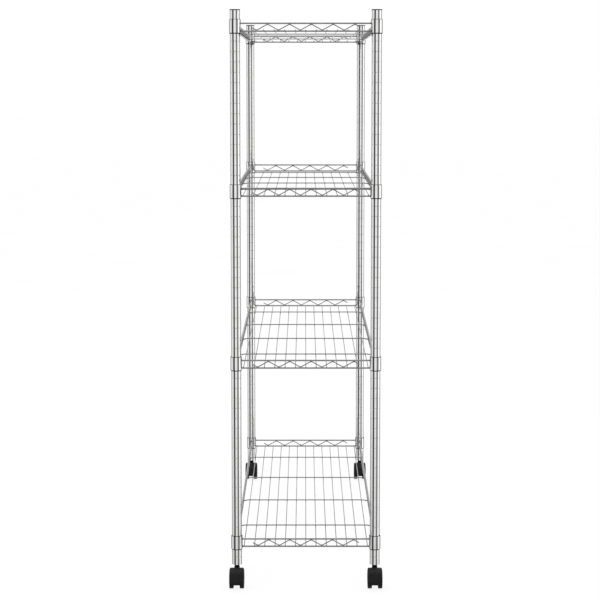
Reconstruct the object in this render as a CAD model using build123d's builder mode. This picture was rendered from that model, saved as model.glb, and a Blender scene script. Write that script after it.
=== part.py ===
from build123d import *

import math
import os

# Four-tier wire shelving rack on four hooded twin-wheel casters.
# Millimetres, +Z up, floor at z = 0. +X is across the rack, +Y runs along its length and
# "front" is the -Y end. The casters trail towards the front, so the posts stand a little
# behind the middle and the whole rack's box is centred on the origin.

# Posts: 1 inch tube, with a rolled groove every inch.
inch = 25.4
post_spacing_x = 349.0
post_spacing_y = 1190.0
post_radius = inch / 2
post_wall = 1.2
post_bottom = 58.0
post_top = 1450.0
groove_datum = 2.0
groove_depth = 0.7
groove_width = 2.4
cap_thickness = 1.7
cap_plug_depth = 12.0
cap_overhang = 0.4

# Shelves: each is a tray of welded wire whose truss stands up around the deck.
top_rail_height = {"bottom_shelf": 122.3}
top_rail_height["lower_shelf"] = top_rail_height["bottom_shelf"] + 18 * inch
top_rail_height["upper_shelf"] = top_rail_height["lower_shelf"] + 17 * inch
top_rail_height["top_shelf"] = top_rail_height["upper_shelf"] + 16 * inch
rail_radius = 2.0
rail_gap = 19.1
weld_sink = 0.3
zigzag_radius = 1.25
zigzag_period = 53.8
zigzag_bend = 6.0
zigzag_end_clearance = 24.0
deck_count = 13
deck_pitch = 26.0
deck_radius = 1.15
deck_overhang = 2.2
cross_places = (0.158, 0.386, 0.614, 0.842)
cross_radius = 1.5
cross_bend = 8.0

# Corner collars and the split tapered sleeves that they wedge on.
collar_radius = 14.75
collar_above_rail = 9.2
collar_below_rail = 4.5
sleeve_top_radius = 13.7
sleeve_bottom_radius = 14.0
sleeve_tip_radius = 13.3
sleeve_proud = 2.4
wedge_length = 6.0
sleeve_slit = 2.0
sleeve_play = 0.02
ridge_height = 0.5
running_play = 0.05

# Casters.
wheel_radius = 25.0
wheel_inner_face = 7.9
wheel_shoulder = 18.25
wheel_outer_face = 19.0
wheel_bore_depth = 17.0
caster_trail = 18.0
hood_radius = 27.0
hood_inner_radius = 25.8
hood_width = 34.8
hood_front_edge = 14.0
hood_rear_edge = 22.0
web_width = 6.0
web_edge = 13.5
hub_width = 15.2
hub_radius = 7.0
ridge_radius = 27.9
ridge_width = 9.0
tower_radius = 7.2
tower_bottom = 30.0
tower_top = 51.5
axle_radius = 3.0
axle_length = 33.4
pin_radius = 4.0
pin_bottom = 31.8
end_play = 0.3
shoulder_radius = 6.2
shank_radius = 5.0
shank_depth = 40.0
ring_height = 34.0
ring_thickness = 1.0
ring_inner_radius = 3.2
ring_outer_radius = 4.85
ring_gap_degrees = 40.0

# Post places, with the rack's box centred on the origin.
centre_shift = (caster_trail + hood_radius - collar_radius) / 2
half_x = post_spacing_x / 2
half_y = post_spacing_y / 2
front_y = centre_shift - half_y
rear_y = centre_shift + half_y
corners = {
    "front_left": (-half_x, front_y),
    "front_right": (half_x, front_y),
    "rear_left": (-half_x, rear_y),
    "rear_right": (half_x, rear_y),
}


def save(builder, name):
    """Label a finished piece and write it under its own name."""
    builder.part.label = name
    export_step(builder.part, f"parts/{name}.step")


def upright_plane(x, y, turn=0.0):
    """Plane through a vertical axis: local X is the radius at that turn, local Y the height."""
    a = math.radians(turn)
    return Plane(origin=(x, y, 0), x_dir=(math.cos(a), math.sin(a), 0), z_dir=(math.sin(a), -math.cos(a), 0))


def make_turned(places, outline, arc=360.0, turns=(0.0,)):
    """One turned piece at each place and turn, from an outline of radius and height."""
    with BuildPart() as turned:
        for x, y in places:
            for turn in turns:
                with BuildSketch(upright_plane(x, y, turn)):
                    Polygon(*outline, align=None)
                revolve(axis=Axis((x, y, 0), (0, 0, 1)), revolution_arc=arc)
    return turned


def make_rods(runs, radius):
    """Straight round wires, one solid for each pair of end points."""
    with BuildPart() as rods:
        for start, end in runs:
            run = Vector(*end) - Vector(*start)
            with BuildSketch(Plane(origin=start, z_dir=run)):
                Circle(radius)
            extrude(amount=run.length)
    return rods


def make_bent_wires(routes, radius, bend):
    """Round wires bent along routes of points, all with one bend radius."""
    with BuildPart() as wires:
        for route in routes:
            with BuildLine() as path:
                FilletPolyline(*route, radius=bend)
            with BuildSketch(Plane(origin=path.line @ 0, z_dir=path.line % 0)):
                Circle(radius)
            sweep(path=path.line)
    return wires


def nearest_groove(height):
    """Height of the post groove closest to a height."""
    return groove_datum + inch * round((height - groove_datum) / inch)


def post_outline():
    """Half section of a post: a tube with a shallow groove every inch."""
    inside = post_radius - post_wall
    points = [(inside, post_top), (inside, post_bottom), (post_radius, post_bottom)]
    groove = nearest_groove(post_bottom + inch / 2)
    while groove + groove_width < post_top:
        points += [
            (post_radius, groove - groove_width / 2),
            (post_radius - groove_depth, groove - groove_width / 4),
            (post_radius - groove_depth, groove + groove_width / 4),
            (post_radius, groove + groove_width / 2),
        ]
        groove += inch
    return points + [(post_radius, post_top)]


def cap_outline():
    """Half section of a post cap: a plug inside the tube and a thin rim over its end."""
    inside = post_radius - post_wall
    rim = post_radius + cap_overhang
    top = post_top + cap_thickness
    bevel = cap_thickness / 3
    return [
        (0, post_top - cap_plug_depth),
        (inside, post_top - cap_plug_depth),
        (inside, post_top),
        (rim, post_top),
        (rim, top - bevel),
        (rim - bevel, top),
        (0, top),
    ]


def socket_outline():
    """Half section of the plastic socket pressed into a post's lower end."""
    inside = post_radius - post_wall
    top = post_bottom + shank_depth
    return [(shank_radius, post_bottom), (inside, post_bottom), (inside, top), (shank_radius, top)]


def collar_span(height):
    """Lowest and highest height of the collars of a shelf whose top rail is at a height."""
    return height - rail_gap - collar_below_rail, height + collar_above_rail


def wedge_span(height):
    """Lowest and highest height of the wedge half way up a collar, between its two lands."""
    low, high = collar_span(height)
    middle = (low + high) / 2
    return middle - wedge_length / 2, middle + wedge_length / 2


def sleeve_outline(height):
    """Half section of a split sleeve: two lands and a wedge outside, a ridge for a groove inside."""
    low, high = collar_span(height)
    wedge_low, wedge_high = wedge_span(height)
    inside = post_radius + sleeve_play
    tip = post_radius - ridge_height
    groove = nearest_groove((low + high) / 2)
    return [
        (inside, low - sleeve_proud),
        (sleeve_tip_radius, low - sleeve_proud),
        (sleeve_bottom_radius, low),
        (sleeve_bottom_radius, wedge_low),
        (sleeve_top_radius, wedge_high),
        (sleeve_top_radius, high),
        (sleeve_tip_radius, high + sleeve_proud),
        (inside, high + sleeve_proud),
        (inside, groove + groove_width / 3),
        (tip, groove + groove_width / 6),
        (tip, groove - groove_width / 6),
        (inside, groove - groove_width / 3),
    ]


def collar_outline(height):
    """Half section of a corner collar: a ring whose bore follows the sleeve's lands and wedge."""
    low, high = collar_span(height)
    wedge_low, wedge_high = wedge_span(height)
    return [
        (sleeve_bottom_radius + running_play, low),
        (collar_radius, low),
        (collar_radius, high),
        (sleeve_top_radius + running_play, high),
        (sleeve_top_radius + running_play, wedge_high),
        (sleeve_bottom_radius + running_play, wedge_low),
    ]


def rail_runs(z):
    """The four straight rails between the collars at one height: two sides, two ends."""
    reach = collar_radius - weld_sink
    sides = [((x, front_y + reach, z), (x, rear_y - reach, z)) for x in (-half_x, half_x)]
    ends = [((-half_x + reach, y, z), (half_x - reach, y, z)) for y in (front_y, rear_y)]
    return sides + ends


def zigzag_offsets(span):
    """Distances along a truss and heights of its zigzag's corners, above the lower rail."""
    touch = rail_radius + zigzag_radius - weld_sink
    slope = math.atan2(rail_gap - 2 * touch, zigzag_period / 2)
    corner = touch - zigzag_bend * (1 / math.cos(slope) - 1)
    low, high, middle = corner, rail_gap - corner, rail_gap / 2
    periods = int((span - 2 * zigzag_end_clearance) / zigzag_period)
    start = -periods * zigzag_period / 2
    offsets = [(start, middle)]
    for k in range(periods):
        left = start + k * zigzag_period
        offsets.append((left + zigzag_period / 4, low))
        offsets.append((left + 3 * zigzag_period / 4, high))
    return offsets + [(-start, middle)]


def zigzag_routes(height):
    """Routes of the four zigzag wires of a shelf, one in each truss."""
    base = height - rail_gap
    end_offsets = zigzag_offsets(post_spacing_x - 2 * collar_radius)
    side_offsets = zigzag_offsets(post_spacing_y - 2 * collar_radius)
    ends = [[(along, y, base + up) for along, up in end_offsets] for y in (front_y, rear_y)]
    sides = [[(x, centre_shift + along, base + up) for along, up in side_offsets] for x in (-half_x, half_x)]
    return ends + sides


def deck_runs(height):
    """The long deck wires, side by side on the lower end rails."""
    z = height - rail_gap + rail_radius + deck_radius - weld_sink
    first = -deck_pitch * (deck_count - 1) / 2
    places = [first + k * deck_pitch for k in range(deck_count)]
    return [((x, front_y - deck_overhang, z), (x, rear_y + deck_overhang, z)) for x in places]


def cross_routes(height):
    """The cross wires, over the deck wires and cranked down onto the lower side rails."""
    over_deck = height - rail_gap + rail_radius + 2 * deck_radius + cross_radius - 2 * weld_sink
    on_rail = height - rail_gap + rail_radius + cross_radius - weld_sink
    deck_edge = deck_pitch * (deck_count - 1) / 2
    crank_in = deck_edge + 4 * deck_radius
    crank_out = half_x - 2 * rail_radius
    tip = half_x + rail_radius
    routes = []
    for place in cross_places:
        y = front_y + place * post_spacing_y
        half = [(crank_in, over_deck), (crank_out, on_rail), (tip, on_rail)]
        left = [(-x, y, z) for x, z in reversed(half)]
        routes.append(left + [(x, y, z) for x, z in half])
    return routes


def stem_outline():
    """Half section of a caster stem: pin below, shoulder, and the shank up the post."""
    ring_low = ring_height - ring_thickness / 2
    ring_high = ring_height + ring_thickness / 2
    return [
        (0, pin_bottom),
        (pin_radius, pin_bottom),
        (pin_radius, ring_low),
        (ring_inner_radius, ring_low),
        (ring_inner_radius, ring_high),
        (pin_radius, ring_high),
        (pin_radius, tower_top + end_play),
        (shoulder_radius, tower_top + end_play),
        (shoulder_radius, post_bottom),
        (shank_radius, post_bottom),
        (shank_radius, post_bottom + shank_depth),
        (0, post_bottom + shank_depth),
    ]


def ring_outline():
    """Section of the snap ring that holds the caster on its stem."""
    low, high = ring_height - ring_thickness / 2, ring_height + ring_thickness / 2
    return [(ring_inner_radius, low), (ring_outer_radius, low), (ring_outer_radius, high), (ring_inner_radius, high)]


def wheel_side_plane(x, y, offset):
    """Plane square to the wheel axle: local X is +Y, local Y is +Z, origin on the axle."""
    return Plane(origin=(x + offset, y - caster_trail, wheel_radius), x_dir=(0, 1, 0), z_dir=(1, 0, 0))


def make_hood(x, y):
    """Caster hood: a fender over both wheels, a web and hub between them, and the stem tower."""
    far = 2 * hood_radius
    front_edge = hood_front_edge - wheel_radius
    rear_edge = hood_rear_edge - wheel_radius
    below_fender = [(-far, -far), (far, -far), (far, rear_edge), (0, rear_edge), (0, front_edge), (-far, front_edge)]
    bore_radius = pin_radius + running_play
    ring_room = ring_thickness / 2 + end_play
    with BuildPart() as hood:
        with BuildSketch(wheel_side_plane(x, y, -hood_width / 2)):
            Circle(hood_radius)
            Circle(hood_inner_radius, mode=Mode.SUBTRACT)
            Polygon(*below_fender, align=None, mode=Mode.SUBTRACT)
        extrude(amount=hood_width)
        with BuildSketch(wheel_side_plane(x, y, -web_width / 2)):
            Circle((hood_radius + hood_inner_radius) / 2)
            with Locations((0, web_edge - wheel_radius - far / 2)):
                Rectangle(2 * far, far, mode=Mode.SUBTRACT)
        extrude(amount=web_width)
        with BuildSketch(wheel_side_plane(x, y, -hub_width / 2)):
            Circle(hub_radius)
        extrude(amount=hub_width)
        with BuildSketch(wheel_side_plane(x, y, -ridge_width / 2)):
            Circle(ridge_radius)
            Circle((hood_radius + hood_inner_radius) / 2, mode=Mode.SUBTRACT)
            Polygon((0, 0), (-far, 0.85 * far), (-far, 2 * far), (0.1 * far, far), align=None, mode=Mode.INTERSECT)
        extrude(amount=ridge_width)
        with BuildSketch(Plane(origin=(x, y, tower_bottom))):
            Circle(tower_radius)
        extrude(amount=tower_top - tower_bottom)
        with BuildSketch(Plane(origin=(x, y, pin_bottom - end_play))):
            Circle(bore_radius)
        extrude(amount=tower_top - pin_bottom + 2 * end_play, mode=Mode.SUBTRACT)
        with BuildSketch(Plane(origin=(x, y, ring_height - ring_room))):
            Circle(ring_outer_radius + end_play / 2)
        extrude(amount=2 * ring_room, mode=Mode.SUBTRACT)
        with BuildSketch(wheel_side_plane(x, y, -hub_width)):
            Circle(axle_radius)
        extrude(amount=2 * hub_width, mode=Mode.SUBTRACT)
    return hood


def make_axle(x, y):
    """Plain steel axle, fixed in the hood's hub, with a wheel on each end."""
    with BuildPart() as axle:
        with BuildSketch(wheel_side_plane(x, y, -axle_length / 2)):
            Circle(axle_radius)
        extrude(amount=axle_length)
    return axle


def make_wheel(x, y, side):
    """One wheel: flat tread, domed outer face, blind bore; side is -1 for left, 1 for right."""
    bore = axle_radius + running_play
    plane = Plane(origin=(x, y - caster_trail, wheel_radius), x_dir=(side, 0, 0), z_dir=(0, -side, 0))
    edge = 0.8
    with BuildPart() as wheel:
        with BuildSketch(plane):
            with BuildLine():
                Polyline(
                    (wheel_outer_face, 0),
                    (wheel_bore_depth, 0),
                    (wheel_bore_depth, bore),
                    (wheel_inner_face, bore),
                    (wheel_inner_face, hub_radius),
                    (wheel_inner_face + 2.5, hub_radius + 1.0),
                    (wheel_inner_face + 2.5, wheel_radius - 5.0),
                    (wheel_inner_face, wheel_radius - 4.0),
                    (wheel_inner_face, wheel_radius - edge),
                    (wheel_inner_face + edge, wheel_radius),
                    (wheel_shoulder - edge, wheel_radius),
                    (wheel_shoulder, wheel_radius - edge),
                )
                dome_edge = (wheel_outer_face, hub_radius)
                TangentArc(dome_edge, (wheel_shoulder, wheel_radius - edge), tangent=(0, 1))
                Line(dome_edge, (wheel_outer_face, 0))
            make_face()
        revolve(axis=Axis((x, y - caster_trail, wheel_radius), (1, 0, 0)))
    return wheel


os.makedirs("parts", exist_ok=True)

# Frame: posts, caps, sockets, stems and the sleeves.
for corner, place in corners.items():
    save(make_turned([place], post_outline()), f"post_{corner}")
    save(make_turned([place], stem_outline()), f"caster_stem_{corner}")
save(make_turned(corners.values(), cap_outline()), "post_caps")
save(make_turned(corners.values(), socket_outline()), "stem_sockets")
save(make_turned(corners.values(), ring_outline(), 360 - ring_gap_degrees), "stem_snap_rings")
slit_degrees = math.degrees(sleeve_slit / post_radius)
for shelf, rail_height in top_rail_height.items():
    sleeves = make_turned(corners.values(), sleeve_outline(rail_height), 180 - slit_degrees, (0.0, 180.0))
    save(sleeves, f"{shelf}_sleeves")

# Shelves.
for shelf, rail_height in top_rail_height.items():
    save(make_turned(corners.values(), collar_outline(rail_height)), f"{shelf}_collars")
    save(make_rods(rail_runs(rail_height), rail_radius), f"{shelf}_upper_rails")
    save(make_rods(rail_runs(rail_height - rail_gap), rail_radius), f"{shelf}_lower_rails")
    save(make_bent_wires(zigzag_routes(rail_height), zigzag_radius, zigzag_bend), f"{shelf}_zigzags")
    save(make_rods(deck_runs(rail_height), deck_radius), f"{shelf}_deck_wires")
    save(make_bent_wires(cross_routes(rail_height), cross_radius, cross_bend), f"{shelf}_cross_wires")

# Casters.
for corner, (x, y) in corners.items():
    save(make_hood(x, y), f"caster_hood_{corner}")
    save(make_axle(x, y), f"caster_axle_{corner}")
    save(make_wheel(x, y, -1), f"caster_wheel_{corner}_l")
    save(make_wheel(x, y, 1), f"caster_wheel_{corner}_r")
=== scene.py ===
import math
import random

import bmesh
import bpy
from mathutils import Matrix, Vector


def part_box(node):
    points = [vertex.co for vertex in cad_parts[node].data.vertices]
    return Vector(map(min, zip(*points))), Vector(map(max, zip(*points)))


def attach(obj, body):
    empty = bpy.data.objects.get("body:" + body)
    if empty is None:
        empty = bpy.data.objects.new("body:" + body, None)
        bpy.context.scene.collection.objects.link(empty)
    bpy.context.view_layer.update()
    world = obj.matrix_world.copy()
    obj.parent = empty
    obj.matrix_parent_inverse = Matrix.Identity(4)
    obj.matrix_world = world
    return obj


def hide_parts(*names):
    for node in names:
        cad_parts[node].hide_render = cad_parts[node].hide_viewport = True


# Looks for a chrome wire shelving rack on black hooded twin-wheel casters. Metres, Z up.
# Wires, posts and casters are rebuilt here as fine round meshes where the CAD puts them.

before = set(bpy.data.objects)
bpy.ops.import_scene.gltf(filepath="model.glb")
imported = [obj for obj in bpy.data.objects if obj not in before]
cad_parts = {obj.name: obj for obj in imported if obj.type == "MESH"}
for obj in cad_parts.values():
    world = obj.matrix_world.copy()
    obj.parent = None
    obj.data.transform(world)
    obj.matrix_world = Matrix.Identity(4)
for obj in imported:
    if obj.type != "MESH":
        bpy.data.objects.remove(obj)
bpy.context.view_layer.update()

MM = 0.001
random.seed(11)

CORNERS = ("front_left", "front_right", "rear_left", "rear_right")
SHELVES = ("bottom_shelf", "lower_shelf", "upper_shelf", "top_shelf")

# Wire sizes, and how far one welded wire sinks into the next.
RAIL_RADIUS = 2.0 * MM
ZIGZAG_RADIUS = 1.25 * MM
ZIGZAG_PERIOD = 53.8 * MM
ZIGZAG_END_CLEARANCE = 24 * MM
ZIGZAG_BEND = 6 * MM
DECK_RADIUS = 1.15 * MM
CROSS_RADIUS = 1.5 * MM
CROSS_BEND = 8 * MM
WELD_SINK = 0.3 * MM

# Vertices farther apart than this, across the wires, belong to different deck or cross wires.
DECK_GAP = 4 * MM
CROSS_GAP = 10 * MM

# Post, its grooves, and the clearance of what goes round it.
POST_WALL = 1.2 * MM
GROOVE_DEPTH = 0.45 * MM
GROOVE_WIDTH = 2.4 * MM
POST_CLEARANCE = 0.03 * MM

# Split sleeves: gap between the halves in degrees, how far they stand above the collar, and the
# height of the straight lands at both ends of sleeve and collar.
SLEEVE_SLIT = 9.0
SLEEVE_PROUD_TOP = 1.0 * MM
LAND_HEIGHT = 13 * MM

# Casters: height of the hood's front lower edge, how far its rear edge drops below the axle, and
# where the tongue on the fender begins and ends, in degrees about the axle.
HOOD_FRONT_EDGE = 14 * MM
HOOD_REAR_DROP = 3.0 * MM
TONGUE_START = 62
TONGUE_END = 138

# Camera: looking along +Y and slightly down, standing off the front posts.
CAMERA_HEIGHT = 1.2762
CAMERA_STAND_OFF = 4.2147
CAMERA_SIDE = -0.0029
CAMERA_TILT = 5.738
LENS = 102.05
SENSOR = 36.0
SHIFT_X = -0.0078
SHIFT_Y = -0.08

# Studio: the floor's own glow, the strength of what reflections see, and the overhead lamp.
FLOOR_GLOW = 0.89
REFLECTION_STRENGTH = 1.6
LAMP_SIZE = 3.0
LAMP_HEIGHT = 3.4
LAMP_POWER = 40


# ---------------------------------------------------------------- mesh building


class Shape:
    """Vertices and faces gathered from turned pieces, tubes and blobs, then made one object."""

    def __init__(self):
        self.points = []
        self.faces = []

    def add(self, points, faces):
        base = len(self.points)
        self.points += points
        self.faces += [tuple(base + i for i in face) for face in faces]

    def lathe(self, outline, origin, axis="Z", steps=40, start=0.0, arc=360.0, closed=True):
        """Turns an outline of (radius, height) about an axis through origin.

        closed joins the outline's last point to its first. A point of radius 0 is one vertex.
        With an arc below 360 the two cut ends are capped by the outline itself."""
        full = arc > 359.9
        count = steps if full else steps + 1
        points, rings = [], []
        for radius, height in outline:
            if radius < 1e-7:
                rings.append([len(points)] * count)
                points.append(place(origin, axis, 0.0, 0.0, height))
                continue
            ring = []
            for k in range(count):
                turn = math.radians(start + arc * k / steps)
                ring.append(len(points))
                points.append(place(origin, axis, radius * math.cos(turn), radius * math.sin(turn), height))
            rings.append(ring)
        faces = []
        pairs = list(zip(rings, rings[1:])) + ([(rings[-1], rings[0])] if closed else [])
        for low, high in pairs:
            for k in range(steps):
                n = (k + 1) % count
                quad = [low[k], low[n], high[n], high[k]]
                face = [v for i, v in enumerate(quad) if v != quad[i - 1]]
                if len(face) > 2:
                    faces.append(face)
        if not full:
            faces.append([ring[0] for ring in rings])
            faces.append([ring[-1] for ring in reversed(rings)])
        self.add(points, faces)

    def tube(self, path, radius, sides=12, round_ends=True):
        """A round wire along a path of points, with softly rounded closed ends."""
        path = [Vector(p) for p in path]
        spots = [(p, 1.0) for p in path]
        if round_ends:
            ahead = (path[1] - path[0]).normalized() * radius
            back = (path[-2] - path[-1]).normalized() * radius
            spots[0] = (path[0], 0.62)
            spots.insert(1, (path[0] + 0.28 * ahead, 0.93))
            spots.insert(2, (path[0] + 0.6 * ahead, 1.0))
            spots[-1] = (path[-1] + 0.6 * back, 1.0)
            spots.append((path[-1] + 0.28 * back, 0.93))
            spots.append((path[-1], 0.62))
        centres = [s[0] for s in spots]
        points = []
        along = (centres[1] - centres[0]).normalized()
        side = along.orthogonal().normalized()
        for i, (centre, scale) in enumerate(spots):
            before = centres[max(i - 1, 0)]
            after = centres[min(i + 1, len(centres) - 1)]
            turned = (after - before).normalized()
            side = (along.rotation_difference(turned) @ side).normalized()
            along = turned
            up = along.cross(side)
            for k in range(sides):
                a = 2 * math.pi * k / sides
                points.append(centre + (side * math.cos(a) + up * math.sin(a)) * radius * scale)
        faces = []
        for i in range(len(spots) - 1):
            for k in range(sides):
                n = (k + 1) % sides
                low, high = i * sides, (i + 1) * sides
                faces.append((low + k, low + n, high + n, high + k))
        last = (len(spots) - 1) * sides
        faces.append(tuple(reversed(range(sides))))
        faces.append(tuple(last + k for k in range(sides)))
        self.add(points, faces)

    def blob(self, centre, size, rings=5, steps=8):
        """A closed egg of the given half sizes, used for weld nuggets."""
        centre, points = Vector(centre), []
        points.append(centre + Vector((0, 0, -size[2])))
        for i in range(1, rings):
            polar = math.pi * i / rings
            for k in range(steps):
                a = 2 * math.pi * k / steps
                x, y = math.sin(polar) * math.cos(a), math.sin(polar) * math.sin(a)
                points.append(centre + Vector((size[0] * x, size[1] * y, -size[2] * math.cos(polar))))
        points.append(centre + Vector((0, 0, size[2])))
        top = len(points) - 1
        faces = []
        for k in range(steps):
            n = (k + 1) % steps
            faces.append((0, 1 + n, 1 + k))
            faces.append((top, top - steps + k, top - steps + n))
            for i in range(rings - 2):
                low, high = 1 + i * steps, 1 + (i + 1) * steps
                faces.append((low + k, low + n, high + n, high + k))
        self.add(points, faces)

    def make(self, name, body, material, replaced=(), sharp=35.0, weighted=False):
        """The finished object: smooth shaded, riding on a body and standing for CAD nodes."""
        mesh = bpy.data.meshes.new(name)
        mesh.from_pydata([tuple(p) for p in self.points], [], self.faces)
        mesh.validate()
        mesh.shade_smooth()
        mesh.set_sharp_from_angle(angle=math.radians(sharp))
        mesh.materials.append(material)
        piece = bpy.data.objects.new(name, mesh)
        bpy.context.scene.collection.objects.link(piece)
        recalculate_normals(piece)
        if weighted:
            modifier = piece.modifiers.new("flat_stretches", "WEIGHTED_NORMAL")
            modifier.keep_sharp = True
        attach(piece, body)
        if replaced:
            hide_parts(*replaced)
        return piece


def recalculate_normals(piece):
    """Points every face of a closed mesh outwards."""
    work = bmesh.new()
    work.from_mesh(piece.data)
    bmesh.ops.recalc_face_normals(work, faces=work.faces)
    work.to_mesh(piece.data)
    work.free()


def place(origin, axis, u, v, height):
    """A point at (u, v) across the Z or X axis and height along it."""
    x, y, z = origin
    if axis == "Z":
        return Vector((x + u, y + v, z + height))
    return Vector((x + height, y + u, z + v))


def bent(points, bend, steps=5):
    """A path through points with every inner corner rounded to one bend radius."""
    points = [Vector(p) for p in points]
    path = [points[0]]
    for before, corner, after in zip(points, points[1:], points[2:]):
        inward, outward = (before - corner).normalized(), (after - corner).normalized()
        half = inward.angle(outward) / 2
        reach = bend / math.tan(half)
        centre = corner + (inward + outward).normalized() * (bend / math.sin(half))
        begin, finish = corner + inward * reach - centre, corner + outward * reach - centre
        for k in range(steps + 1):
            path.append(centre + begin.slerp(finish, k / steps).normalized() * bend)
    return path + [points[-1]]


# ---------------------------------------------------------------- materials


def new_material(name):
    """A material with its node tree and its principled shader."""
    material = bpy.data.materials.new(name)
    material.use_nodes = True
    nodes, links = material.node_tree.nodes, material.node_tree.links
    return material, nodes, links, nodes["Principled BSDF"]


def noise_texture(nodes, links, scale, detail=3.0, stretch=(1, 1, 1)):
    """Noise in object coordinates, in metres."""
    place_node = nodes.new("ShaderNodeTexCoord")
    mapping = nodes.new("ShaderNodeMapping")
    mapping.inputs["Scale"].default_value = stretch
    texture = nodes.new("ShaderNodeTexNoise")
    texture.inputs["Scale"].default_value = scale
    texture.inputs["Detail"].default_value = detail
    links.new(place_node.outputs["Object"], mapping.inputs["Vector"])
    links.new(mapping.outputs["Vector"], texture.inputs["Vector"])
    return texture


def ramp(nodes, links, source, stops):
    """A colour ramp from a value, with (position, colour) stops."""
    node = nodes.new("ShaderNodeValToRGB")
    elements = node.color_ramp.elements
    while len(elements) < len(stops):
        elements.new(0.5)
    for element, (position, colour) in zip(elements, stops):
        element.position = position
        element.color = (*colour, 1)
    links.new(source, node.inputs["Fac"])
    return node


def spread(nodes, links, source, low, high):
    """Maps a value from 0..1 to low..high."""
    node = nodes.new("ShaderNodeMapRange")
    node.inputs["To Min"].default_value = low
    node.inputs["To Max"].default_value = high
    links.new(source, node.inputs["Value"])
    return node.outputs["Result"]


def bump(nodes, links, shader, source, distance):
    """Roughens a shader's surface by a height."""
    node = nodes.new("ShaderNodeBump")
    node.inputs["Distance"].default_value = distance
    links.new(source, node.inputs["Height"])
    links.new(node.outputs["Normal"], shader.inputs["Normal"])


def grey(value, warm=0.0):
    """A grey, with a little red added and blue taken away when warm."""
    return (value * (1 + warm), value, value * (1 - warm))


def plated_metal(name, dark, light, rough_low, rough_high, grain, stretch=(1, 1, 1), wave=0.004):
    """Plated steel: cloudy colour, smudged gloss, and the faint lay of the drawn surface."""
    material, nodes, links, shader = new_material(name)
    shader.inputs["Metallic"].default_value = 1.0
    clouds = noise_texture(nodes, links, 34.0, 4.0)
    tone = ramp(nodes, links, clouds.outputs["Fac"], [(0.3, grey(dark, 0.006)), (0.62, grey(light))])
    links.new(tone.outputs["Color"], shader.inputs["Base Color"])
    smudges = noise_texture(nodes, links, 120.0, 5.0)
    links.new(spread(nodes, links, smudges.outputs["Fac"], rough_low, rough_high), shader.inputs["Roughness"])
    lay = noise_texture(nodes, links, grain, 2.0, stretch)
    bump(nodes, links, shader, lay.outputs["Fac"], wave * MM)
    return material


def moulded_plastic(name, dark, light, rough_low, rough_high, specular, grain_depth=0.02):
    """Black moulded plastic: fine satin grain, dull patches and slightly paler rubbed areas."""
    material, nodes, links, shader = new_material(name)
    shader.inputs["Specular IOR Level"].default_value = specular
    patches = noise_texture(nodes, links, 60.0, 4.0)
    tone = ramp(nodes, links, patches.outputs["Fac"], [(0.35, grey(dark)), (0.7, grey(light))])
    links.new(tone.outputs["Color"], shader.inputs["Base Color"])
    rubs = noise_texture(nodes, links, 210.0, 5.0)
    links.new(spread(nodes, links, rubs.outputs["Fac"], rough_low, rough_high), shader.inputs["Roughness"])
    grain = noise_texture(nodes, links, 1900.0, 2.0)
    bump(nodes, links, shader, grain.outputs["Fac"], grain_depth * MM)
    return material


POST_CHROME = plated_metal("post_chrome", 0.76, 0.82, 0.025, 0.06, 240.0, (1, 1, 0.08), wave=0.002)
COLLAR_CHROME = plated_metal("collar_chrome", 0.72, 0.8, 0.05, 0.1, 300.0, (1, 1, 0.4), wave=0.003)
WIRE_CHROME = plated_metal("wire_chrome", 0.22, 0.28, 0.18, 0.3, 500.0)
WELD_CHROME = plated_metal("weld_chrome", 0.18, 0.25, 0.3, 0.45, 1400.0, wave=0.05)
BLACK_STEEL = plated_metal("black_coated_steel", 0.012, 0.02, 0.35, 0.5, 700.0)
PLAIN_STEEL = plated_metal("ground_steel", 0.42, 0.52, 0.22, 0.34, 900.0, (1, 0.05, 0.05))
HOOD_PLASTIC = moulded_plastic("hood_plastic", 0.003, 0.005, 0.42, 0.56, 0.24)
WHEEL_PLASTIC = moulded_plastic("wheel_plastic", 0.002, 0.004, 0.4, 0.55, 0.2)
SLEEVE_PLASTIC = moulded_plastic("sleeve_plastic", 0.003, 0.005, 0.45, 0.6, 0.12)
CAP_PLASTIC = moulded_plastic("cap_plastic", 0.004, 0.008, 0.45, 0.6, 0.15)


# ---------------------------------------------------------------- frame pieces


def span(node):
    """Low corner, high corner and centre of a CAD node."""
    low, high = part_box(node)
    return low, high, (low + high) / 2


def groove_heights(node, centre, radius):
    """Heights of the grooves rolled in a post, read from where its CAD wall is narrowest."""
    heights = []
    floor_of_groove = radius - 0.5 * GROOVE_DEPTH
    wall = radius - 1.1 * MM
    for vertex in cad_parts[node].data.vertices:
        reach = math.hypot(vertex.co.x - centre.x, vertex.co.y - centre.y)
        if wall < reach < floor_of_groove:
            heights.append(vertex.co.z)
    middles = []
    for height in sorted(heights):
        if middles and height - middles[-1][-1] < GROOVE_WIDTH:
            middles[-1].append(height)
        else:
            middles.append([height])
    return [(group[0] + group[-1]) / 2 for group in middles]


def build_post(corner):
    """A plated tube with a soft valley at each groove and a rolled lower edge."""
    node = f"post_{corner}"
    low, high, centre = span(node)
    radius = (high.x - low.x) / 2
    inside = radius - POST_WALL
    outline = [(inside, high.z), (inside, low.z + 0.3 * MM), (inside + 0.3 * MM, low.z)]
    outline += [(radius - 0.4 * MM, low.z), (radius - 0.1 * MM, low.z + 0.1 * MM), (radius, low.z + 0.4 * MM)]
    for groove in groove_heights(node, centre, radius):
        for k in range(-4, 5):
            t = k / 4
            depth = GROOVE_DEPTH * 0.5 * (1 + math.cos(math.pi * t))
            outline.append((radius - depth, groove + t * GROOVE_WIDTH / 2))
    outline.append((radius, high.z))
    post = Shape()
    post.lathe(outline, (centre.x, centre.y, 0), steps=40)
    post.make(f"post_tube_{corner}", "frame", POST_CHROME, [node], weighted=True)


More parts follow.
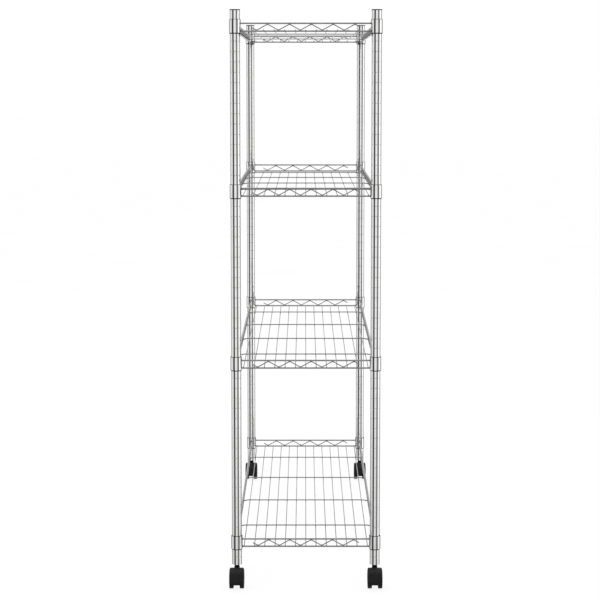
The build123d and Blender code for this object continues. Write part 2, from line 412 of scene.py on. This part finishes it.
def build_caps():
    """Thin moulded caps: a bevelled rim and a slightly sunken top over a plug."""
    low, high, _ = span("post_caps")
    caps = Shape()
    for corner in CORNERS:
        post_low, post_high, centre = span(f"post_{corner}")
        radius = high.x - abs(centre.x)
        inside = (post_high.x - post_low.x) / 2 - POST_WALL
        top = high.z
        rim = post_high.z
        skirt = (post_high.x - post_low.x) / 2 + POST_CLEARANCE
        outline = [(0, low.z), (inside - 0.6 * MM, low.z), (inside, low.z + 1.5 * MM), (inside, rim)]
        outline += [(skirt, rim), (skirt, rim - 0.8 * MM), (radius - 0.1 * MM, rim - 0.8 * MM)]
        outline += [(radius, rim - 0.7 * MM), (radius, top - 0.6 * MM)]
        outline += [(radius - 0.25 * MM, top - 0.15 * MM), (radius - 0.7 * MM, top)]
        outline += [(radius - 3.0 * MM, top), (radius - 3.6 * MM, top - 0.35 * MM), (0, top - 0.35 * MM)]
        caps.lathe(outline, (centre.x, centre.y, 0), steps=40, closed=False)
    caps.make("post_cap_discs", "frame", CAP_PLASTIC, ["post_caps"], weighted=True)


def build_sleeves(shelf):
    """The split sleeves of one shelf, two halves on each post, with chamfered ends."""
    node = f"{shelf}_sleeves"
    low = span(node)[0]
    collar_low, collar_high, _ = span(f"{shelf}_collars")
    sleeves = Shape()
    for corner in CORNERS:
        post_low, post_high, centre = span(f"post_{corner}")
        inside = (post_high.x - post_low.x) / 2 + POST_CLEARANCE
        tip, top_outside, bottom_outside = inside + 0.6 * MM, inside + 0.98 * MM, inside + 1.27 * MM
        outline = [(inside, low.z), (tip - 0.2 * MM, low.z), (tip, low.z + 0.2 * MM)]
        outline += [(bottom_outside, collar_low.z - 0.1 * MM), (bottom_outside, collar_low.z + LAND_HEIGHT)]
        top = collar_high.z + SLEEVE_PROUD_TOP
        outline += [(top_outside, collar_high.z - LAND_HEIGHT), (top_outside, top - 0.3 * MM)]
        outline += [(top_outside - 0.25 * MM, top), (inside, top)]
        for turn in (0, 180):
            start = turn + SLEEVE_SLIT / 2
            sleeves.lathe(outline, (centre.x, centre.y, 0), steps=18, start=start, arc=180 - SLEEVE_SLIT)
    sleeves.make(f"{shelf}_split_sleeves", "frame", SLEEVE_PLASTIC, [node], weighted=True)


def build_collars(shelf):
    """Corner rings with rolled lips and a tapered bore."""
    node = f"{shelf}_collars"
    low, high, _ = span(node)
    collars = Shape()
    for corner in CORNERS:
        post_low, post_high, centre = span(f"post_{corner}")
        outside = abs(centre.x - (low.x if centre.x < 0 else high.x))
        inside = (post_high.x - post_low.x) / 2
        bore_top, bore_bottom = inside + 1.05 * MM, inside + 1.35 * MM
        lip = 0.35 * MM
        outline = [(bore_bottom, low.z + lip), (bore_bottom + 0.15 * MM, low.z), (outside - lip, low.z)]
        outline += [(outside - 0.1 * MM, low.z + 0.1 * MM), (outside, low.z + lip), (outside, high.z - lip)]
        outline += [(outside - 0.1 * MM, high.z - 0.1 * MM), (outside - lip, high.z)]
        outline += [(bore_top + 0.25 * MM, high.z), (bore_top, high.z - lip)]
        outline += [(bore_top, high.z - LAND_HEIGHT), (bore_bottom, low.z + LAND_HEIGHT)]
        collars.lathe(outline, (centre.x, centre.y, 0), steps=40)
    collars.make(f"{shelf}_corner_rings", shelf, COLLAR_CHROME, [node], weighted=True)


# ---------------------------------------------------------------- shelves


def post_lines():
    """X of the two rows and Y of the two ends of posts."""
    left, right = span("post_front_left")[2], span("post_rear_right")[2]
    return left.x, right.x, left.y, right.y


def build_rails(shelf):
    """Upper and lower rails, each a straight heavy wire between two collars."""
    left, right, front, rear = post_lines()
    collar_low = span(f"{shelf}_collars")[0]
    reach = left - collar_low.x - WELD_SINK
    for level in ("upper", "lower"):
        node = f"{shelf}_{level}_rails"
        z = span(node)[2].z
        rails = Shape()
        for x in (left, right):
            rails.tube([(x, front + reach, z), (x, rear - reach, z)], RAIL_RADIUS, 16, False)
        for y in (front, rear):
            rails.tube([(left + reach, y, z), (right - reach, y, z)], RAIL_RADIUS, 16, False)
        rails.make(f"{shelf}_{level}_rail_wires", shelf, WIRE_CHROME, [node])


def zigzag_points(length, low, high):
    """Corners of a zigzag centred on its truss: distance along it and height."""
    touch = RAIL_RADIUS + ZIGZAG_RADIUS - WELD_SINK
    slope = math.atan2(high - low - 2 * touch, ZIGZAG_PERIOD / 2)
    corner = touch - ZIGZAG_BEND * (1 / math.cos(slope) - 1)
    periods = int((length - 2 * ZIGZAG_END_CLEARANCE) / ZIGZAG_PERIOD)
    start = -periods * ZIGZAG_PERIOD / 2
    points = [(start, (low + high) / 2)]
    for k in range(periods):
        points.append((start + (k + 0.25) * ZIGZAG_PERIOD, low + corner))
        points.append((start + (k + 0.75) * ZIGZAG_PERIOD, high - corner))
    return points + [(-start, (low + high) / 2)]


def truss_runs(shelf):
    """For each truss: its zigzag corners in place, and the direction it runs in."""
    left, right, front, rear = post_lines()
    collar_low = span(f"{shelf}_collars")[0]
    outside = left - collar_low.x
    low, high = span(f"{shelf}_lower_rails")[2].z, span(f"{shelf}_upper_rails")[2].z
    middle = (front + rear) / 2
    ends = zigzag_points(right - left - 2 * outside, low, high)
    sides = zigzag_points(rear - front - 2 * outside, low, high)
    runs = [("X", [(a, y, z) for a, z in ends]) for y in (front, rear)]
    return runs + [("Y", [(x, middle + a, z) for a, z in sides]) for x in (left, right)]


def build_zigzags(shelf):
    """The four zigzag wires of a shelf, with rounded corners."""
    zigzags = Shape()
    for _, corners in truss_runs(shelf):
        zigzags.tube(bent(corners, ZIGZAG_BEND), ZIGZAG_RADIUS, 10)
    zigzags.make(f"{shelf}_zigzag_wires", shelf, WIRE_CHROME, [f"{shelf}_zigzags"])


def wire_places(node, axis, gap):
    """Where a node's parallel wires lie along an axis: the middles of its clusters of vertices."""
    values = sorted(vertex.co[axis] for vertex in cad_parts[node].data.vertices)
    groups = [[values[0]]]
    for value in values[1:]:
        if value - groups[-1][-1] > gap:
            groups.append([value])
        else:
            groups[-1].append(value)
    return [(group[0] + group[-1]) / 2 for group in groups]


def build_deck(shelf):
    """The long deck wires, with clipped ends just past the end rails."""
    node = f"{shelf}_deck_wires"
    low, high, centre = span(node)
    deck = Shape()
    for x in wire_places(node, 0, DECK_GAP):
        deck.tube([(x, low.y, centre.z), (x, 0, centre.z), (x, high.y, centre.z)], DECK_RADIUS, 12)
    deck.make(f"{shelf}_deck_rods", shelf, WIRE_CHROME, [node])


def cross_levels(shelf):
    """Heights of a cross wire over the deck and where it is welded to the side rails."""
    low, high, _ = span(f"{shelf}_cross_wires")
    return high.z - CROSS_RADIUS, low.z + CROSS_RADIUS


def build_cross_wires(shelf):
    """Cross wires over the deck, cranked down at both ends onto the lower side rails."""
    node = f"{shelf}_cross_wires"
    high = span(node)[1]
    deck_high = span(f"{shelf}_deck_wires")[1]
    over_deck, on_rail = cross_levels(shelf)
    rail = post_lines()[1]
    crank_in, crank_out = deck_high.x + 3 * DECK_RADIUS, rail - 2 * RAIL_RADIUS
    wires = Shape()
    for y in wire_places(node, 1, CROSS_GAP):
        half = [(crank_in, over_deck), (crank_out, on_rail), (high.x, on_rail)]
        points = [(-x, y, z) for x, z in reversed(half)] + [(x, y, z) for x, z in half]
        wires.tube(bent(points, CROSS_BEND), CROSS_RADIUS, 12)
    wires.make(f"{shelf}_cross_rods", shelf, WIRE_CHROME, [node])


def build_welds(shelf):
    """Small flattened nuggets where wires cross, and beads where rails meet the collars."""
    left, right, front, rear = post_lines()
    low, high = span(f"{shelf}_lower_rails")[2].z, span(f"{shelf}_upper_rails")[2].z
    deck_z = span(f"{shelf}_deck_wires")[2].z
    over_deck, on_rail = cross_levels(shelf)
    deck_x = wire_places(f"{shelf}_deck_wires", 0, DECK_GAP)
    cross_y = wire_places(f"{shelf}_cross_wires", 1, CROSS_GAP)
    outside = left - span(f"{shelf}_collars")[0].x
    welds = Shape()

    def nugget(x, y, z, sx, sy, sz):
        wobble = 1 + random.uniform(-0.12, 0.12)
        welds.blob((x, y, z), (sx * wobble * MM, sy * wobble * MM, sz * MM))

    for x in deck_x:
        for y in cross_y:
            nugget(x, y, (deck_z + over_deck) / 2, 1.35, 1.5, 0.75)
        for y in (front, rear):
            nugget(x, y, deck_z - DECK_RADIUS + 0.1 * MM, 1.35, 1.6, 0.7)
    for y in cross_y:
        for x in (left, right):
            nugget(x, y, on_rail - CROSS_RADIUS + 0.1 * MM, 1.8, 1.6, 0.75)
    for direction, corners in truss_runs(shelf):
        for x, y, z in corners[1:-1]:
            crest = low + RAIL_RADIUS if z < (low + high) / 2 else high - RAIL_RADIUS
            size = (2.3, 1.25, 0.6) if direction == "X" else (1.25, 2.3, 0.6)
            nugget(x, y, crest, *size)
    for z in (low, high):
        for x, inward in ((left, 1), (right, -1)):
            for y in (front, rear):
                nugget(x + inward * outside, y, z, 1.1, 2.7, 2.6)
        for y, inward in ((front, 1), (rear, -1)):
            for x in (left, right):
                nugget(x, y + inward * outside, z, 2.7, 1.1, 2.6)
    welds.make(f"{shelf}_welds", shelf, WELD_CHROME)


# ---------------------------------------------------------------- casters


def build_stem(corner):
    """The stem's black shoulder under the post, its pin, and the shank inside the post."""
    node = f"caster_stem_{corner}"
    low, high, centre = span(node)
    post_low = span(f"post_{corner}")[0].z
    shoulder = (high.x - low.x) / 2
    shoulder_low = span(f"caster_hood_{corner}")[1].z - 1.1 * MM
    pin, shank = 3.9 * MM, 4.95 * MM
    outline = [(0, low.z), (pin - 0.8 * MM, low.z), (pin, low.z + 0.8 * MM), (pin, shoulder_low)]
    outline += [(shoulder - 0.5 * MM, shoulder_low), (shoulder, shoulder_low + 0.5 * MM)]
    outline += [(shoulder, post_low - 1.6 * MM), (shoulder + 0.5 * MM, post_low - 1.0 * MM)]
    outline += [(shoulder + 0.5 * MM, post_low - 0.3 * MM), (shoulder, post_low)]
    outline += [(shank, post_low), (shank, high.z - 1 * MM), (shank - 1 * MM, high.z), (0, high.z)]
    stem = Shape()
    stem.lathe(outline, (centre.x, centre.y, 0), steps=32, closed=False)
    stem.make(f"stem_{corner}", "frame", BLACK_STEEL, [node], weighted=True)


def build_hood(corner):
    """The hood: a fender with rounded shoulders, web, hub, the tower round the stem and a raised tongue."""
    node = f"caster_hood_{corner}"
    low, high, _ = span(node)
    stem = span(f"post_{corner}")[2]
    wheel_low, wheel_high, _ = span(f"caster_wheel_{corner}_l")
    axle_y, axle_z = (wheel_low.y + wheel_high.y) / 2, (wheel_low.z + wheel_high.z) / 2
    outer = (high.y - low.y) / 2
    half = (high.x - low.x) / 2
    origin = (stem.x, axle_y, axle_z)
    body = Shape()
    front = math.degrees(math.asin((axle_z - HOOD_FRONT_EDGE) / outer))
    rear = math.degrees(math.asin(HOOD_REAR_DROP / outer))
    fender = fender_outline(outer, half)
    body.lathe(fender, origin, axis="X", steps=72, start=-rear, arc=180 + rear + front)
    web = web_outline(outer - 0.6 * MM, HOOD_FRONT_EDGE - axle_z)
    prism(body, web, origin, 3 * MM)
    body.lathe(disc(7 * MM, 7.6 * MM, 0.5 * MM), origin, axis="X", steps=32, closed=False)
    tower_top = high.z - 1.4 * MM
    tower = [(0, axle_z + 5 * MM), (7.2 * MM, axle_z + 5 * MM), (7.2 * MM, tower_top - 1.2 * MM)]
    tower += [(6.9 * MM, tower_top - 0.4 * MM), (6.2 * MM, tower_top), (0, tower_top)]
    body.lathe(tower, (stem.x, stem.y, 0), steps=36, closed=False)
    tongue(body, origin, outer, stem.y - axle_y)
    body.make(f"hood_{corner}", f"caster_{corner}", HOOD_PLASTIC, [node], weighted=True)


def fender_outline(outer, half):
    """Closed section of the fender: (radius, distance along the axle)."""
    points = []
    shoulder = 2.4 * MM
    drop = 1.1 * MM
    for k in range(7):
        a = math.radians(15 * k)
        points.append((outer - drop * (1 - math.cos(a)), half - shoulder * (1 - math.sin(a))))
    points = [(outer, 0.0), (outer, half * 0.5)] + points
    inner = outer - 1.3 * MM
    points += [(inner + 0.1 * MM, half), (inner, half - 0.2 * MM), (inner, 0.0)]
    mirrored = [(r, -x) for r, x in reversed(points[1:-1])]
    return points + mirrored


def web_outline(radius, lowest):
    """Outline of the web between the wheels, in (Y, Z) about the axle."""
    start = math.asin(-lowest / radius)
    steps = 40
    points = []
    for k in range(steps + 1):
        a = -start + (math.pi + 2 * start) * k / steps
        points.append((radius * math.cos(a), radius * math.sin(a)))
    return points


def prism(shape, outline, origin, half):
    """A flat plate: an outline in (Y, Z) about origin, thick across X."""
    x, y, z = origin
    count = len(outline)
    points = [Vector((x - half, y + a, z + b)) for a, b in outline]
    points += [Vector((x + half, y + a, z + b)) for a, b in outline]
    faces = [tuple(range(count)), tuple(reversed(range(count, 2 * count)))]
    faces += [(k, (k + 1) % count, count + (k + 1) % count, count + k) for k in range(count)]
    shape.add(points, faces)


def disc(radius, half, chamfer):
    """Solid of revolution outline of a boss: (radius, distance along the axle)."""
    return [
        (0, -half),
        (radius - chamfer, -half),
        (radius, -half + chamfer),
        (radius, half - chamfer),
        (radius - chamfer, half),
        (0, half),
    ]


def tongue(shape, origin, outer, back):
    """The raised tongue that runs from the tower forward over the fender and fades out."""
    x, y, z = origin
    steps, sides = 24, 12
    points, faces = [], []
    for i in range(steps + 1):
        share = i / steps
        angle = math.radians(TONGUE_START + (TONGUE_END - TONGUE_START) * share)
        width = 6.6 * MM * math.sqrt(max(0.0, 1 - share**2.2)) + 0.25 * MM
        rise = 0.9 * MM * math.sqrt(max(0.0, 1 - share**2)) + 0.02 * MM
        radius = outer - 0.9 * MM
        centre = Vector((x, y + radius * math.cos(angle), z + radius * math.sin(angle)))
        outward = Vector((0, math.cos(angle), math.sin(angle)))
        for k in range(sides):
            a = 2 * math.pi * k / sides
            lift = (rise + 0.9 * MM) * max(0.0, math.sin(a)) + 0.2 * MM * min(0.0, math.sin(a))
            points.append(centre + Vector((width * math.cos(a), 0, 0)) + outward * lift)
    for i in range(steps):
        for k in range(sides):
            n = (k + 1) % sides
            faces.append((i * sides + k, i * sides + n, (i + 1) * sides + n, (i + 1) * sides + k))
    faces.append(tuple(reversed(range(sides))))
    faces.append(tuple(steps * sides + k for k in range(sides)))
    shape.add(points, faces)


def build_wheel(corner, side):
    """A domed nylon wheel: tread with soft edges, stepped outer face and a coned inner recess."""
    node = f"caster_wheel_{corner}_{side}"
    low, high, centre = span(node)
    sign = -1 if side == "l" else 1
    stem_x = span(f"post_{corner}")[2].x
    radius = (high.z - low.z) / 2
    inner = abs((high.x if side == "l" else low.x) - stem_x)
    outer = abs((low.x if side == "l" else high.x) - stem_x)
    width = outer - inner
    hub = 7 * MM
    bore, bore_end, recess = 3.05 * MM, inner + 9 * MM, inner + 2.5 * MM
    outline = [(0, bore_end), (bore, bore_end), (bore, inner + 0.3 * MM), (3.4 * MM, inner), (hub, inner)]
    outline += [(hub + 1 * MM, recess), (radius - 5 * MM, recess), (radius - 4 * MM, inner)]
    outline += [(radius - 1.0 * MM, inner), (radius - 0.3 * MM, inner + 0.3 * MM), (radius, inner + 1.0 * MM)]
    outline += [(radius, inner + width * 0.5), (radius, outer - 1.9 * MM)]
    outline += [(radius - 0.15 * MM, outer - 1.3 * MM), (radius - 0.6 * MM, outer - 0.85 * MM)]
    outline += [(radius - 1.4 * MM, outer - 0.6 * MM)]
    for k in range(1, 7):
        t = k / 7
        outline.append((radius - 1.4 * MM - t * (radius - 14 * MM), outer - 0.6 * MM * (1 - t) ** 1.6))
    face = 11.0 * MM
    outline += [(face + 0.5 * MM, outer), (face, outer - 1.2 * MM), (face - 1.2 * MM, outer - 1.2 * MM)]
    outline += [(face - 1.7 * MM, outer - 0.05 * MM), (4 * MM, outer - 0.02 * MM), (0, outer)]
    outline = [(r, sign * x) for r, x in outline]
    wheel = Shape()
    wheel.lathe(outline, (stem_x, centre.y, centre.z), axis="X", steps=64, closed=False)
    name = f"wheel_{corner}_{side}"
    wheel.make(name, name, WHEEL_PLASTIC, [node], weighted=True)


# ---------------------------------------------------------------- set and camera


def build_floor():
    """A plain pale floor, wide enough to reach the horizon."""
    half = 60.0
    square = [(-half, -half, 0), (half, -half, 0), (half, half, 0), (-half, half, 0)]
    mesh = bpy.data.meshes.new("studio_floor")
    mesh.from_pydata(square, [], [(0, 1, 2, 3)])
    material, nodes, links, shader = new_material("floor_paper")
    shader.inputs["Roughness"].default_value = 0.9
    shader.inputs["Specular IOR Level"].default_value = 0.0
    shader.inputs["Emission Color"].default_value = (1, 1, 1, 1)
    shader.inputs["Emission Strength"].default_value = FLOOR_GLOW
    mottle = noise_texture(nodes, links, 3.0, 3.0)
    tone = ramp(nodes, links, mottle.outputs["Fac"], [(0.3, grey(0.1)), (0.7, grey(0.11))])
    links.new(tone.outputs["Color"], shader.inputs["Base Color"])
    mesh.materials.append(material)
    floor = bpy.data.objects.new("studio_floor", mesh)
    bpy.context.scene.collection.objects.link(floor)
    floor.visible_glossy = False


def build_world():
    """White studio. Reflections see soft bright walls with darker gaps between them."""
    world = bpy.data.worlds.new("studio")
    bpy.context.scene.world = world
    world.use_nodes = True
    nodes, links = world.node_tree.nodes, world.node_tree.links
    nodes.clear()
    output = nodes.new("ShaderNodeOutputWorld")
    rays = nodes.new("ShaderNodeLightPath")
    plain = nodes.new("ShaderNodeBackground")
    plain.inputs["Color"].default_value = (1, 1, 1, 1)
    plain.inputs["Strength"].default_value = 1.0
    seen = nodes.new("ShaderNodeBackground")
    coordinates = nodes.new("ShaderNodeTexCoord")
    split = nodes.new("ShaderNodeSeparateXYZ")
    links.new(coordinates.outputs["Generated"], split.inputs["Vector"])
    azimuth = nodes.new("ShaderNodeMath")
    azimuth.operation = "ARCTAN2"
    toward = nodes.new("ShaderNodeMath")
    toward.operation = "MULTIPLY"
    toward.inputs[1].default_value = -1
    links.new(split.outputs["Y"], toward.inputs[0])
    links.new(split.outputs["X"], azimuth.inputs[0])
    links.new(toward.outputs["Value"], azimuth.inputs[1])
    turn = nodes.new("ShaderNodeMapRange")
    turn.inputs["From Min"].default_value = -math.pi
    turn.inputs["From Max"].default_value = math.pi
    links.new(azimuth.outputs["Value"], turn.inputs["Value"])
    walls = ramp(nodes, links, turn.outputs["Result"], wall_stops())
    height = nodes.new("ShaderNodeMapRange")
    height.inputs["From Min"].default_value = -1
    height.inputs["From Max"].default_value = 1
    links.new(split.outputs["Z"], height.inputs["Value"])
    levels = ramp(nodes, links, height.outputs["Result"], level_stops())
    mixed = nodes.new("ShaderNodeMix")
    mixed.data_type = "RGBA"
    mixed.blend_type = "MULTIPLY"
    mixed.inputs["Factor"].default_value = 1.0
    links.new(walls.outputs["Color"], mixed.inputs["A"])
    links.new(levels.outputs["Color"], mixed.inputs["B"])
    links.new(mixed.outputs["Result"], seen.inputs["Color"])
    seen.inputs["Strength"].default_value = REFLECTION_STRENGTH
    either = nodes.new("ShaderNodeMixShader")
    links.new(rays.outputs["Is Glossy Ray"], either.inputs["Fac"])
    links.new(plain.outputs["Background"], either.inputs[1])
    links.new(seen.outputs["Background"], either.inputs[2])
    links.new(either.outputs["Shader"], output.inputs["Surface"])


def wall_stops():
    """Brightness of the studio walls round the compass; 0 degrees is towards -Y."""
    degrees = [(-180, 0.62), (-150, 0.6), (-143, 0.1), (-124, 0.1), (-116, 0.62), (-90, 0.58), (-62, 0.58)]
    degrees += [(-58, 0.03), (-28, 0.03), (-21, 0.6), (0, 0.68), (18, 0.58), (27, 0.15), (60, 0.15)]
    degrees += [(65, 0.98), (86, 0.9), (94, 0.6), (116, 0.62), (124, 0.1), (143, 0.1), (150, 0.6)]
    degrees += [(180, 0.62)]
    return [((d + 180) / 360, grey(v)) for d, v in degrees]


def level_stops():
    """Brightness of the studio from straight down (0) through level (0.5) to straight up (1)."""
    levels = [(0.0, 0.45), (0.25, 0.55), (0.36, 0.8), (0.42, 0.98), (0.6, 1.0), (0.85, 0.8), (1.0, 0.9)]
    return [(level, grey(value)) for level, value in levels]


def build_lights():
    """One large soft overhead light."""
    light = bpy.data.lights.new("overhead", "AREA")
    light.shape = "RECTANGLE"
    light.size, light.size_y = LAMP_SIZE, LAMP_SIZE
    light.energy = LAMP_POWER
    lamp = bpy.data.objects.new("overhead", light)
    lamp.location = (0, 0, LAMP_HEIGHT)
    lamp.visible_camera = False
    bpy.context.scene.collection.objects.link(lamp)


def build_camera():
    """Camera in front of the narrow end, near the height of the top shelf."""
    data = bpy.data.cameras.new("view")
    data.lens = LENS
    data.sensor_width = SENSOR
    data.shift_x, data.shift_y = SHIFT_X, SHIFT_Y
    data.clip_end = 200
    camera = bpy.data.objects.new("view", data)
    front = span("post_front_left")[2].y
    camera.location = (CAMERA_SIDE, front - CAMERA_STAND_OFF, CAMERA_HEIGHT)
    camera.rotation_euler = (math.radians(90 - CAMERA_TILT), 0, 0)
    bpy.context.scene.collection.objects.link(camera)
    bpy.context.scene.camera = camera


def dress(nodes, material):
    """Gives CAD nodes that stay as they are a finished material."""
    for name in nodes:
        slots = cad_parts[name].data.materials
        for k in range(len(slots)):
            slots[k] = material
        if len(slots) == 0:
            slots.append(material)


for corner in CORNERS:
    build_post(corner)
    build_stem(corner)
    build_hood(corner)
    for side in ("l", "r"):
        build_wheel(corner, side)
build_caps()
for shelf in SHELVES:
    build_sleeves(shelf)
    build_collars(shelf)
    build_rails(shelf)
    build_zigzags(shelf)
    build_deck(shelf)
    build_cross_wires(shelf)
    build_welds(shelf)
dress(["stem_sockets"], SLEEVE_PLASTIC)
dress(["stem_snap_rings"] + [f"caster_axle_{corner}" for corner in CORNERS], PLAIN_STEEL)

build_floor()
build_world()
build_lights()
build_camera()
bpy.context.scene.view_settings.view_transform = "Standard"
